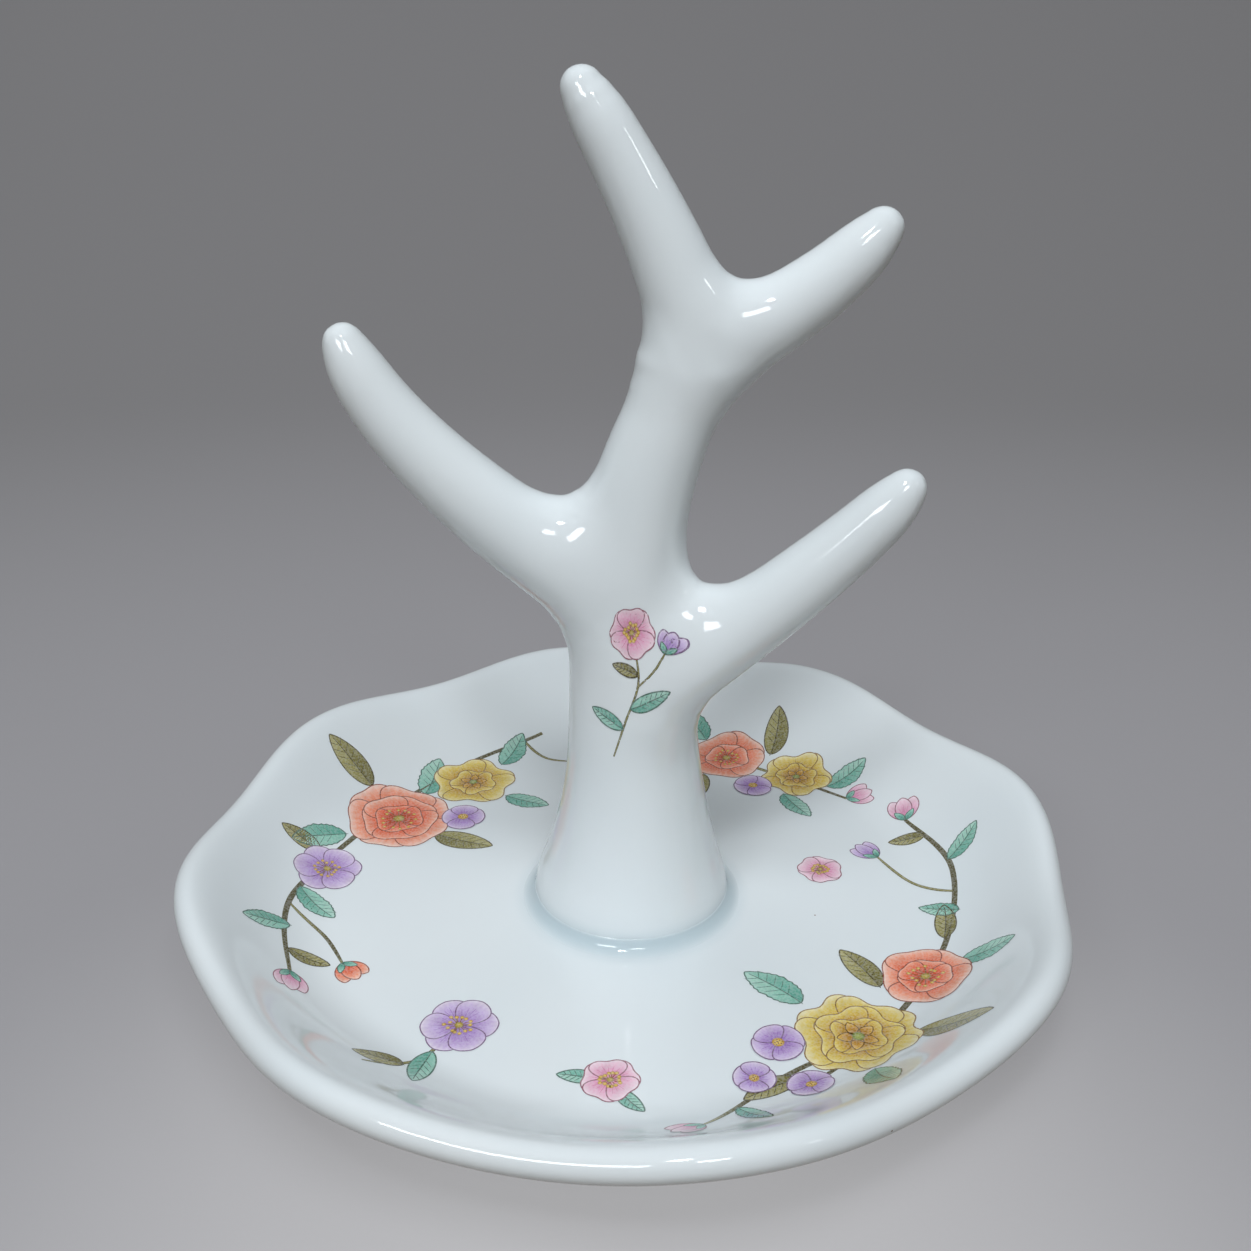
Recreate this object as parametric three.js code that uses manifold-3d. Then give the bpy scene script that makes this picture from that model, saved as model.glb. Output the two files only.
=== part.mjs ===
// Porcelain ring tree: a scalloped saucer with a branching tree of four limbs standing in it.
// Units are millimetres and +Z is up. The origin is the centre of the foot ring on the table.
// The tree lies in the XZ plane, as a casting from a two-part mould does, and is seen from -Y.
// Three pieces make it: the saucer, the hollow tree, and the ring of slip that lutes them together.

import * as THREE from 'three';
import { mergeVertices } from 'three/addons/utils/BufferGeometryUtils.js';
import Module from 'manifold-3d';

const wasm = await Module();
wasm.setup();

// Saucer
const dishRadius = 57.5;
const rimHeight = 15.7;
const lipRadius = 1.9;
const floorRadius = 39;
const floorThickness = 3.6;
const ventDiameter = 4;

// Foot ring under the saucer
const footRingRadius = 34;
const footRingWidth = 3.4;
const footRingHeight = 2.6;
const footEdgeRadius = 0.8;

// Scalloped rim: the crests of the lobes stand out and up, the dips between them lie in and down
const lobeCount = 8;
const lobeDepth = 0.84;
const lobeRise = 0.9;
const lobeTurnShare = 0.26;

// Shares that shape the saucer's curved wall, measured from the floor's edge out to the rim
const wallHandleShare = 0.42;
const rimHandleShare = 0.18;
const undersideHandleShare = 0.45;
const undersideRimShare = 0.22;
const innerLipTurnShare = 0.58;
const outerLipTurnShare = -0.22;

// Slip that lutes the tree to the floor
const slipThickness = 0.6;
const slipBeadWidth = 1.4;
const slipHollowShare = 0.35;

// Tree: heights are above its own foot, and reaches are sideways from its foot's centre
const treeOffset = 0.5;
const wallThickness = 3;
const narrowestBore = 2;
const lowerForkBlend = 10.7;
const upperForkBlend = 6.8;
const tipLength = 5;
const tipNarrowingShare = 0.4;

// Trunk: a slow taper that spreads into a flared foot and leans over to the upper fork
const trunk = {
  rootRadius: 10,
  tipRadius: 4.65,
  flare: 3,
  flareHeight: 23,
  forkReach: 9.4,
  forkHeight: 76.8,
  lowReachShare: 0.21,
  lowHeightShare: 0.585,
  highReachShare: -0.67,
  highHeightShare: 0.595,
};

// Limbs: each bows from its root in the trunk to a round tip
const leftLimb = {
  rootReach: -0.9,
  rootHeight: 42.3,
  tipReach: -32.85,
  tipHeight: 74.3,
  rootForward: 0,
  tipForward: 0,
  rootRadius: 6,
  tipRadius: 3.15,
  bowReachShare: 0.84,
  bowHeightShare: 0.555,
};
const lowerRightLimb = {
  rootReach: 2.7,
  rootHeight: 32,
  tipReach: 31.6,
  tipHeight: 58.7,
  rootForward: 3,
  tipForward: 5,
  rootRadius: 5.2,
  tipRadius: 3.05,
  bowReachShare: 0.81,
  bowHeightShare: 0.71,
};
const upperRightLimb = {
  rootReach: 5.5,
  rootHeight: 71.8,
  tipReach: 27.5,
  tipHeight: 87.1,
  rootForward: 0,
  tipForward: 0,
  rootRadius: 5.2,
  tipRadius: 3.05,
  bowReachShare: 0.7,
  bowHeightShare: 0.465,
};
const topLimb = {
  rootReach: 8.1,
  rootHeight: 72,
  tipReach: -5.35,
  tipHeight: 101.4,
  rootForward: 0,
  tipForward: 0,
  rootRadius: 5.6,
  tipRadius: 3.1,
  bowReachShare: 0.17,
  bowHeightShare: 0.385,
};

// Fineness of the facets
const skinCell = 1.75;
const boreCell = 2.2;
const dishSteps = 80;
const wallSegments = 7;
const undersideSegments = 5;
const lipSegments = 5;
const edgeSegments = 2;
const slipSteps = 48;
const beadSegments = 4;
const trunkSamples = 44;
const limbSamples = 20;
const slopeShare = 0.01;
const strayShare = 0.5;
const cellsUnderFoot = 3;
const leastBlendShare = 1e-3;
const weldShare = 1e-4;

// Heights and radii that follow from the sizes above
const floorHeight = footRingHeight + floorThickness;
const treeSeatHeight = floorHeight + slipThickness;
const treeFootRadius = trunk.rootRadius + trunk.flare;
const boreRadius = treeFootRadius - wallThickness;
const trimDepth = cellsUnderFoot * skinCell;

const glaze = { color: 0xe6ebec, roughness: 0.12, metalness: 0 };
const pooledGlaze = { color: 0xdfe6e8, roughness: 0.2, metalness: 0 };

// An arc's ends are given in half turns
function arc(centreX, centreY, radius, start, end, segments) {
  const points = [];
  for (let i = 0; i <= segments; i += 1) {
    const angle = Math.PI * THREE.MathUtils.lerp(start, end, i / segments);
    points.push(new THREE.Vector2(centreX + radius * Math.cos(angle), centreY + radius * Math.sin(angle)));
  }
  return points;
}

function bow(start, startHandle, endHandle, end, segments) {
  return new THREE.CubicBezierCurve(start, startHandle, endHandle, end).getPoints(segments);
}

// Turns a closed outline of (radius, height) points about the Z axis
function revolve(outline, steps) {
  const geometry = new THREE.LatheGeometry([...outline, outline[0].clone()], steps);
  geometry.rotateX(Math.PI / 2);
  return welded(geometry);
}

function welded(geometry) {
  geometry.deleteAttribute('normal');
  geometry.deleteAttribute('uv');
  const merged = mergeVertices(geometry, skinCell * weldShare);
  merged.computeVertexNormals();
  return merged;
}

// A handle that leaves a round edge along its tangent
function tangentHandle(point, centre, length, way) {
  const outward = point.clone().sub(centre).normalize();
  return new THREE.Vector2(-outward.y, outward.x).multiplyScalar(way * length).add(point);
}

// The saucer's section runs outwards underneath, round the lip and back over the floor
function dishOutline() {
  const ventRadius = ventDiameter / 2;
  const footInner = footRingRadius - footRingWidth / 2;
  const footOuter = footRingRadius + footRingWidth / 2;
  const edge = footEdgeRadius;
  const lipCentre = new THREE.Vector2(dishRadius - lipRadius, rimHeight - lipRadius);
  const run = dishRadius - floorRadius;
  const lip = arc(lipCentre.x, lipCentre.y, lipRadius, outerLipTurnShare, innerLipTurnShare, lipSegments);
  const outerTangent = tangentHandle(lip[0], lipCentre, run * undersideRimShare, -1);
  const innerTangent = tangentHandle(lip[lip.length - 1], lipCentre, run * rimHandleShare, 1);
  const undersideStart = new THREE.Vector2(footOuter + edge, footRingHeight);
  const underside = bow(
    undersideStart,
    new THREE.Vector2(undersideStart.x + (dishRadius - footOuter) * undersideHandleShare, footRingHeight),
    outerTangent,
    lip[0],
    undersideSegments,
  );
  const wall = bow(
    lip[lip.length - 1],
    innerTangent,
    new THREE.Vector2(floorRadius + run * wallHandleShare, floorHeight),
    new THREE.Vector2(floorRadius, floorHeight),
    wallSegments,
  );
  return [
    new THREE.Vector2(ventRadius, footRingHeight),
    ...arc(footInner - edge, footRingHeight - edge, edge, 0.5, 0, edgeSegments),
    ...arc(footInner + edge, edge, edge, 1, 1.5, edgeSegments),
    ...arc(footOuter - edge, edge, edge, -0.5, 0, edgeSegments),
    ...arc(footOuter + edge, footRingHeight - edge, edge, 1, 0.5, edgeSegments).slice(0, -1),
    ...underside.slice(0, -1),
    ...lip.slice(0, -1),
    ...wall,
    new THREE.Vector2(ventRadius, floorHeight),
  ];
}

// The lobes are full at the rim and die away towards the flat floor
function scallop(geometry) {
  const position = geometry.attributes.position;
  const turn = lobeTurnShare * 2 * Math.PI / lobeCount;
  for (let i = 0; i < position.count; i += 1) {
    const x = position.getX(i);
    const y = position.getY(i);
    const radius = Math.hypot(x, y);
    const share = THREE.MathUtils.smoothstep(radius, floorRadius, dishRadius);
    const wave = share * Math.cos(lobeCount * (Math.atan2(y, x) - turn));
    const spread = 1 + wave * lobeDepth / radius;
    position.setXYZ(i, x * spread, y * spread, position.getZ(i) + wave * lobeRise);
  }
  geometry.computeVertexNormals();
  return geometry;
}

// The slip lies flat under the tree and fills the corner around its foot with a hollow bead
function slipOutline() {
  const beadRadius = treeFootRadius + slipBeadWidth;
  const bead = bow(
    new THREE.Vector2(beadRadius, 0),
    new THREE.Vector2(THREE.MathUtils.lerp(beadRadius, treeFootRadius, slipHollowShare), 0),
    new THREE.Vector2(treeFootRadius, slipThickness * slipHollowShare),
    new THREE.Vector2(treeFootRadius, slipThickness),
    beadSegments,
  );
  return [new THREE.Vector2(boreRadius, 0), ...bead, new THREE.Vector2(boreRadius, slipThickness)];
}

// The trunk and each limb are a row of balls along a curve, and the trunk's starts under its foot
function trunkBalls() {
  const curve = new THREE.CubicBezierCurve3(
    new THREE.Vector3(0, 0, 0),
    new THREE.Vector3(trunk.forkReach * trunk.lowReachShare, 0, trunk.forkHeight * trunk.lowHeightShare),
    new THREE.Vector3(trunk.forkReach * trunk.highReachShare, 0, trunk.forkHeight * trunk.highHeightShare),
    new THREE.Vector3(trunk.forkReach, 0, trunk.forkHeight),
  );
  const underFoot = new THREE.Vector3(0, 0, -trimDepth);
  return [underFoot, ...curve.getSpacedPoints(trunkSamples)].map((centre) => {
    const taper = THREE.MathUtils.lerp(trunk.rootRadius, trunk.tipRadius, centre.z / trunk.forkHeight);
    const spread = Math.max(1 - centre.z / trunk.flareHeight, 0);
    return { centre, radius: taper + trunk.flare * spread * spread };
  });
}

// A limb tapers evenly, and its last stretch narrows like the end of a finger
function limbBalls(limb) {
  const root = new THREE.Vector3(limb.rootReach, -limb.rootForward, limb.rootHeight);
  const tip = new THREE.Vector3(limb.tipReach, -limb.tipForward, limb.tipHeight);
  const middle = new THREE.Vector3(
    THREE.MathUtils.lerp(root.x, tip.x, limb.bowReachShare),
    THREE.MathUtils.lerp(root.y, tip.y, limb.bowReachShare),
    THREE.MathUtils.lerp(root.z, tip.z, limb.bowHeightShare),
  );
  const centres = new THREE.QuadraticBezierCurve3(root, middle, tip).getPoints(limbSamples);
  return centres.map((centre, i) => {
    const taper = THREE.MathUtils.lerp(limb.rootRadius, limb.tipRadius, i / limbSamples);
    const nearTip = Math.max(1 - centre.distanceTo(tip) / tipLength, 0);
    return { centre, radius: taper * Math.sqrt(1 - tipNarrowingShare * nearTip * nearTip) };
  });
}

// How far a point lies outside the tapered tube through a limb's balls, and which way from its line
function tubeField(point, balls) {
  const field = { distance: Infinity, outward: new THREE.Vector3() };
  for (let i = 1; i < balls.length; i += 1) {
    const from = balls[i - 1];
    const to = balls[i];
    const alongX = to.centre.x - from.centre.x;
    const alongY = to.centre.y - from.centre.y;
    const alongZ = to.centre.z - from.centre.z;
    const offX = point.x - from.centre.x;
    const offY = point.y - from.centre.y;
    const offZ = point.z - from.centre.z;
    const lengthSquared = alongX * alongX + alongY * alongY + alongZ * alongZ;
    const dot = offX * alongX + offY * alongY + offZ * alongZ;
    const share = THREE.MathUtils.clamp(dot / lengthSquared, 0, 1);
    const awayX = offX - share * alongX;
    const awayY = offY - share * alongY;
    const awayZ = offZ - share * alongZ;
    const away = Math.sqrt(awayX * awayX + awayY * awayY + awayZ * awayZ);
    const distance = away - THREE.MathUtils.lerp(from.radius, to.radius, share);
    if (distance < field.distance) {
      field.distance = distance;
      field.outward.set(awayX, awayY, awayZ);
    }
  }
  field.outward.normalize();
  return field;
}

function softMinimum(first, second, reach) {
  const near = Math.max(1 - Math.abs(first - second) / reach, 0);
  return Math.min(first, second) - near * near * reach / 4;
}

// Joins two limbs with a fillet in the crotch between them, and none where both face the same way
function blended(first, second, blend) {
  const spread = Math.sqrt(Math.max(1 - first.outward.dot(second.outward), 0) / 2);
  const reach = blend * Math.max(spread, leastBlendShare);
  const share = THREE.MathUtils.clamp(0.5 + (first.distance - second.distance) / (2 * reach), 0, 1);
  return {
    distance: softMinimum(first.distance, second.distance, reach),
    outward: first.outward.clone().lerp(second.outward, share).normalize(),
  };
}

function treeDistance(limbs) {
  return (point) => limbs
    .map((limb) => ({ ...tubeField(point, limb.balls), blend: limb.blend }))
    .reduce((joined, limb) => blended(joined, limb, limb.blend))
    .distance;
}

// The tree's skin: all limbs blended, and closed a little under the foot, where it is trimmed off
function skinDistance(limbs) {
  const tree = treeDistance(limbs);
  return (point) => Math.max(tree(point), -trimDepth / 2 - point.z);
}

// What the slip drained out of: a wall's thickness inside each limb, as far up as it stays open
function hollow(limb) {
  const narrowed = limb.balls.map(({ centre, radius }) => ({ centre, radius: radius - wallThickness }));
  const closedAt = narrowed.findIndex(({ radius }) => radius < narrowestBore);
  return { balls: closedAt < 0 ? narrowed : narrowed.slice(0, closedAt), blend: limb.blend };
}

function boundsOf(limbs, margin) {
  const box = new THREE.Box3();
  for (const { centre, radius } of limbs.flatMap((limb) => limb.balls)) {
    box.expandByPoint(centre.clone().addScalar(radius));
    box.expandByPoint(centre.clone().addScalar(-radius));
  }
  return box.expandByScalar(margin);
}

// Moves a point along the slope of the distance until it lies on the surface
function settle(point, distance, step) {
  const slope = new THREE.Vector3();
  for (let round = 0; round < 4; round += 1) {
    const here = distance(point);
    for (const axis of ['x', 'y', 'z']) {
      const beside = point.clone();
      beside[axis] += step;
      slope[axis] = (distance(beside) - here) / step;
    }
    point.addScaledVector(slope, -here / slope.lengthSq());
  }
  return point;
}

// Puts stray corners outside until the inside of every square and cube of the grid hangs together
function clearStrays(values, strides) {
  const offsets = [0, 1, 2, 3, 4, 5, 6, 7].map(
    (bits) => (bits & 1) * strides[0] + ((bits >> 1) & 1) * strides[1] + (bits >> 2) * strides[2],
  );
  const inside = (corner) => values[corner] < 0;
  let strays = 0;
  const clearOne = (corners) => {
    const stray = corners.reduce((a, b) => (values[a] > values[b] ? a : b));
    values[stray] = -values[stray];
    strays += 1;
  };
  const clearPair = (pair, rest) => {
    if (pair.every(inside) && !rest.some(inside)) {
      clearOne(pair);
    } else if (rest.every(inside) && !pair.some(inside)) {
      clearOne(rest);
    }
  };
  do {
    strays = 0;
    for (let at = 0; at + offsets[7] < values.length; at += 1) {
      const cube = offsets.map((offset) => at + offset);
      for (const [a, b, c, d] of [[0, 1, 3, 2], [0, 1, 5, 4], [0, 2, 6, 4]]) {
        clearPair([cube[a], cube[c]], [cube[b], cube[d]]);
      }
      for (let end = 0; end < 4; end += 1) {
        clearPair([cube[end], cube[7 - end]], cube.filter((_, n) => n !== end && n !== 7 - end));
      }
    }
  } while (strays > 0);
}

// Meshes the surface where a distance is zero, with one vertex in or near each cell that it crosses
function surfaceNet(distance, box, cell) {
  const size = box.getSize(new THREE.Vector3()).divideScalar(cell).ceil();
  const counts = [size.x + 1, size.y + 1, size.z + 1];
  const strides = [1, counts[0], counts[0] * counts[1]];
  const corner = (i, j, k) => box.min.clone().add(new THREE.Vector3(i, j, k).multiplyScalar(cell));
  const values = new Float64Array(counts[0] * counts[1] * counts[2]);
  const cellVertex = new Int32Array(values.length).fill(-1);
  const steps = [0, 1, 2, 3, 4, 5, 6, 7].map((bits) => [bits & 1, (bits >> 1) & 1, bits >> 2]);
  const positions = [];
  const index = [];

  for (let k = 0; k < counts[2]; k += 1) {
    for (let j = 0; j < counts[1]; j += 1) {
      for (let i = 0; i < counts[0]; i += 1) {
        values[i + j * strides[1] + k * strides[2]] = distance(corner(i, j, k));
      }
    }
  }
  clearStrays(values, strides);

  for (let k = 0; k + 1 < counts[2]; k += 1) {
    for (let j = 0; j + 1 < counts[1]; j += 1) {
      for (let i = 0; i + 1 < counts[0]; i += 1) {
        const at = i + j * strides[1] + k * strides[2];
        const middle = new THREE.Vector3();
        let crossings = 0;
        for (const [a, b, c] of steps) {
          const start = values[at + a + b * strides[1] + c * strides[2]];
          for (let axis = 0; axis < 3; axis += 1) {
            if ([a, b, c][axis] === 0) {
              const end = values[at + a + b * strides[1] + c * strides[2] + strides[axis]];
              if (start < 0 !== end < 0) {
                const place = [i + a, j + b, k + c];
                place[axis] += start / (start - end);
                middle.add(corner(...place));
                crossings += 1;
              }
            }
          }
        }
        if (crossings > 0) {
          const vertex = settle(middle.divideScalar(crossings), distance, cell * slopeShare);
          const near = corner(i - strayShare, j - strayShare, k - strayShare);
          const far = corner(i + 1 + strayShare, j + 1 + strayShare, k + 1 + strayShare);
          cellVertex[at] = positions.length / 3;
          positions.push(...vertex.clamp(near, far).toArray());
        }
      }
    }
  }

  for (let k = 1; k + 1 < counts[2]; k += 1) {
    for (let j = 1; j + 1 < counts[1]; j += 1) {
      for (let i = 1; i + 1 < counts[0]; i += 1) {
        const at = i + j * strides[1] + k * strides[2];
        for (let axis = 0; axis < 3; axis += 1) {
          const inside = values[at] < 0;
          if (inside !== values[at + strides[axis]] < 0) {
            const side = strides[(axis + 1) % 3];
            const other = strides[(axis + 2) % 3];
            const [a, b, c, d] = [at, at - side, at - side - other, at - other].map((n) => cellVertex[n]);
            index.push(...(inside ? [a, b, c, a, c, d] : [a, c, b, a, d, c]));
          }
        }
      }
    }
  }

  const geometry = new THREE.BufferGeometry();
  geometry.setAttribute('position', new THREE.Float32BufferAttribute(positions, 3));
  geometry.setIndex(index);
  return geometry;
}

function toSolid(geometry) {
  const vertProperties = new Float32Array(geometry.attributes.position.array);
  const triVerts = new Uint32Array(geometry.index.array);
  return new wasm.Manifold(new wasm.Mesh({ numProp: 3, vertProperties, triVerts }));
}

function fromSolid(solid) {
  const { vertProperties, triVerts } = solid.getMesh();
  const geometry = new THREE.BufferGeometry();
  geometry.setAttribute('position', new THREE.BufferAttribute(vertProperties, 3));
  geometry.setIndex(new THREE.BufferAttribute(triVerts, 1));
  geometry.computeVertexNormals();
  return geometry;
}

function treeGeometry() {
  const limbs = [
    { balls: trunkBalls(), blend: upperForkBlend },
    { balls: limbBalls(topLimb), blend: upperForkBlend },
    { balls: limbBalls(upperRightLimb), blend: upperForkBlend },
    { balls: limbBalls(lowerRightLimb), blend: lowerForkBlend },
    { balls: limbBalls(leftLimb), blend: lowerForkBlend },
  ];
  const bores = limbs.map(hollow).filter((limb) => limb.balls.length > 1);
  const skinBox = boundsOf(limbs, skinCell);
  skinBox.min.z = -trimDepth;
  const skin = surfaceNet(skinDistance(limbs), skinBox, skinCell);
  const bore = surfaceNet(treeDistance(bores), boundsOf(bores, boreCell), boreCell);
  const trimmings = new THREE.BoxGeometry(4 * treeFootRadius, 4 * treeFootRadius, trimDepth);
  trimmings.translate(0, 0, -trimDepth / 2);
  return fromSolid(toSolid(skin).subtract(toSolid(bore)).subtract(toSolid(welded(trimmings))));
}

function piece(name, geometry, finish, height, reach) {
  const mesh = new THREE.Mesh(geometry, new THREE.MeshStandardMaterial(finish));
  mesh.name = name;
  mesh.position.set(reach, 0, height);
  return mesh;
}

const ringTree = new THREE.Group();
ringTree.add(piece('dish', scallop(revolve(dishOutline(), dishSteps)), glaze, 0, 0));
ringTree.add(piece('slip_joint', revolve(slipOutline(), slipSteps), pooledGlaze, floorHeight, treeOffset));
ringTree.add(piece('tree', treeGeometry(), glaze, treeSeatHeight, treeOffset));

export default ringTree;
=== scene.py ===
import math
from itertools import product

import bpy
import numpy as np
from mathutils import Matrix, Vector


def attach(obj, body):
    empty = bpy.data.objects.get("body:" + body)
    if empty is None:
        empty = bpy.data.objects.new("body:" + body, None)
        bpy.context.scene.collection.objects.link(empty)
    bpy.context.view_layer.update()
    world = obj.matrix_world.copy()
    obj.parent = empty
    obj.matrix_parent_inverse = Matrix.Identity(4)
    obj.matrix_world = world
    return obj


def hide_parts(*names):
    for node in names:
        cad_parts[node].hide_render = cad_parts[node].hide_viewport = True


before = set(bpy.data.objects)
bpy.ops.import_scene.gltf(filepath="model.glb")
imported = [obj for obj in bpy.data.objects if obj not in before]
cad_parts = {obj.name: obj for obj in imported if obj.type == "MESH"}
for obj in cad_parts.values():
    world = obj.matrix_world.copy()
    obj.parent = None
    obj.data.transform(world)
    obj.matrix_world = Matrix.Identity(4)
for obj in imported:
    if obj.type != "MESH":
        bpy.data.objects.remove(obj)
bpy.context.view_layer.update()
mm = 0.001   # every length below is in millimetres, and this takes it to metres


# Nodes, colours and meshes

def linear(hexColour):
    parts = [int(hexColour[i:i + 2], 16) / 255 for i in (1, 3, 5)]
    toned = (c / 12.92 if c <= 0.04045 else ((c + 0.055) / 1.055) ** 2.4 for c in parts)
    return tuple(toned) + (1.0,)


def addNode(material, kind, inputs=None, **settings):
    node = material.node_tree.nodes.new(kind)
    for name, value in settings.items():
        setattr(node, name, value)
    for name, value in (inputs or {}).items():
        if isinstance(value, bpy.types.NodeSocket):
            material.node_tree.links.new(value, node.inputs[name])
        else:
            node.inputs[name].default_value = value
    return node


def newMaterial(name):
    material = bpy.data.materials.new(name)
    material.use_nodes = True
    material.node_tree.nodes.clear()
    return material


def makePiece(name, points, faces, material):
    mesh = bpy.data.meshes.new(name)
    mesh.from_pydata((np.asarray(points) * mm).tolist(), [], np.asarray(faces).tolist())
    mesh.materials.append(material)
    mesh.shade_smooth()
    piece = bpy.data.objects.new(name, mesh)
    bpy.context.scene.collection.objects.link(piece)
    return piece


def smoothStep(value, low, high):
    share = np.clip((value - low) / (high - low), 0, 1)
    return share * share * (3 - 2 * share)


# Materials. Scales are one over the size of the pattern, in metres

glazeLook = {
    "body": "#E7EDEF",        # white body under a clear glaze
    "thick": "#DDE6EA",       # where the glaze lies thicker it is faintly blue
    "pooledAndShaded": "#B4C8D0",      # glaze run together round the tree's foot, darkened further as painted shade of that crease
    "biscuit": "#D9D2C6",     # bare fired clay on the foot ring
    "grain": "#C4BBAC",       # and the darker grains in it
    "speck": "#6E4E38",       # iron in the body
    "roughness": 0.06, "biscuitRoughness": 0.8, "ior": 1.5,
    "cloud": 28, "wave": 7, "waveHeight": 0.02, "peel": 0.8, "peelHeight": 0.0006,
    "speckSpacing": 11, "speckSize": 0.16,
    "poolShadeMiddle": 0.5,        # the tree stands this far to the right of the saucer's middle
    "glazeLine": (0.75, 0.85), "wander": 5, "wanderHeight": 0.5,
    "grit": 0.35, "gritHeight": 0.03,
}


def glazeWaves(made, place):
    # a slow wave where the dip ran, and the fine peel of a fired glaze
    wave = addNode(made, "ShaderNodeTexNoise", {
        "Vector": place, "Scale": 1 / (glazeLook["wave"] * mm), "Detail": 1})
    waved = addNode(made, "ShaderNodeBump", {
        "Height": wave.outputs["Fac"], "Distance": glazeLook["waveHeight"] * mm})
    peel = addNode(made, "ShaderNodeTexNoise", {
        "Vector": place, "Scale": 1 / (glazeLook["peel"] * mm), "Detail": 1})
    peeled = addNode(made, "ShaderNodeBump", {
        "Height": peel.outputs["Fac"], "Distance": glazeLook["peelHeight"] * mm,
        "Normal": waved.outputs["Normal"]})
    return peeled.outputs["Normal"]


def glazedPorcelain(name, poolShadeShare, poolShadeReach, poolShadeHeight, wiped=False):
    # Slip-cast hard porcelain, dipped in clear glaze: sharp reflections over a cold white body,
    # with a slow wave in the gloss, rare iron specks, pooled glaze with painted shade in the crease
    # round the tree's foot, and bare clay where the foot was wiped
    look = glazeLook
    made = newMaterial(name)
    place = addNode(made, "ShaderNodeTexCoord").outputs["Object"]
    cloud = addNode(made, "ShaderNodeTexNoise", {
        "Vector": place, "Scale": 1 / (look["cloud"] * mm), "Detail": 2})
    body = addNode(made, "ShaderNodeMix", {
        "Factor": cloud.outputs["Fac"], 6: linear(look["body"]), 7: linear(look["thick"])},
        data_type="RGBA")
    # pooled glaze close round the tree's foot, fading outwards and upwards: a bluish tint that is
    # partly the glaze run together and partly painted shade in the crease where trunk meets floor
    away = addNode(made, "ShaderNodeVectorMath", {0: place, 1: (look["poolShadeMiddle"] * mm, 0, 0)},
                   operation="SUBTRACT")
    flat = addNode(made, "ShaderNodeVectorMath", {0: away.outputs["Vector"], 1: (1, 1, 0)},
                   operation="MULTIPLY")
    reach = addNode(made, "ShaderNodeVectorMath", {0: flat.outputs["Vector"]}, operation="LENGTH")
    nearFoot = addNode(made, "ShaderNodeMapRange", {
        "Value": reach.outputs["Value"], "From Min": poolShadeReach[0] * mm,
        "From Max": poolShadeReach[1] * mm, "To Min": 1, "To Max": 0}, interpolation_type="SMOOTHSTEP")
    height = addNode(made, "ShaderNodeSeparateXYZ", {"Vector": place}).outputs["Z"]
    low = addNode(made, "ShaderNodeMapRange", {
        "Value": height, "From Min": poolShadeHeight[0] * mm, "From Max": poolShadeHeight[1] * mm,
        "To Min": poolShadeShare, "To Max": 0}, interpolation_type="SMOOTHSTEP")
    poolAndShade = addNode(made, "ShaderNodeMath", {
        0: nearFoot.outputs["Result"], 1: low.outputs["Result"]}, operation="MULTIPLY")
    pooledAndShaded = addNode(made, "ShaderNodeMix", {
        "Factor": poolAndShade.outputs["Value"], 6: body.outputs[2], 7: linear(look["pooledAndShaded"])},
        data_type="RGBA")
    # iron specks in the body
    spots = addNode(made, "ShaderNodeTexVoronoi", {
        "Vector": place, "Scale": 1 / (look["speckSpacing"] * mm)})
    size = look["speckSize"] / look["speckSpacing"]
    speck = addNode(made, "ShaderNodeMapRange", {
        "Value": spots.outputs["Distance"], "From Min": size * 0.5, "From Max": size,
        "To Min": 1, "To Max": 0})
    specked = addNode(made, "ShaderNodeMix", {
        "Factor": speck.outputs["Result"], 6: pooledAndShaded.outputs[2], 7: linear(look["speck"])},
        data_type="RGBA")
    glaze = addNode(made, "ShaderNodeBsdfPrincipled", {
        "Base Color": specked.outputs[2], "Roughness": look["roughness"], "IOR": look["ior"],
        "Normal": glazeWaves(made, place)})
    surface = glaze
    if wiped:
        # the glaze line wanders a little where the foot ring was sponged clean
        wander = addNode(made, "ShaderNodeTexNoise", {
            "Vector": place, "Scale": 1 / (look["wander"] * mm)})
        line = addNode(made, "ShaderNodeMath", {
            0: wander.outputs["Fac"], 1: look["wanderHeight"] * mm, 2: height},
            operation="MULTIPLY_ADD")
        bare = addNode(made, "ShaderNodeMapRange", {
            "Value": line.outputs["Value"], "From Min": look["glazeLine"][0] * mm,
            "From Max": look["glazeLine"][1] * mm, "To Min": 1, "To Max": 0})
        grit = addNode(made, "ShaderNodeTexNoise", {
            "Vector": place, "Scale": 1 / (look["grit"] * mm), "Detail": 3})
        gritty = addNode(made, "ShaderNodeBump", {
            "Height": grit.outputs["Fac"], "Distance": look["gritHeight"] * mm})
        tint = addNode(made, "ShaderNodeMix", {
            "Factor": grit.outputs["Fac"], 6: linear(look["biscuit"]), 7: linear(look["grain"])},
            data_type="RGBA")
        biscuit = addNode(made, "ShaderNodeBsdfPrincipled", {
            "Base Color": tint.outputs[2], "Roughness": look["biscuitRoughness"],
            "IOR": look["ior"], "Normal": gritty.outputs["Normal"]})
        surface = addNode(made, "ShaderNodeMixShader", {
            0: bare.outputs["Result"], 1: glaze.outputs["BSDF"], 2: biscuit.outputs["BSDF"]})
    addNode(made, "ShaderNodeOutputMaterial", {"Surface": surface.outputs[0]})
    return made


enamelLook = {
    "screen": 0.3, "screenGap": 0.2,                      # dots, and how far the body shows between
    "patch": 1.6, "patchDepth": 0.22, "heavy": "#B9B2A8",   # where the colour lies heavier
    "roughness": 0.08,
}


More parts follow.
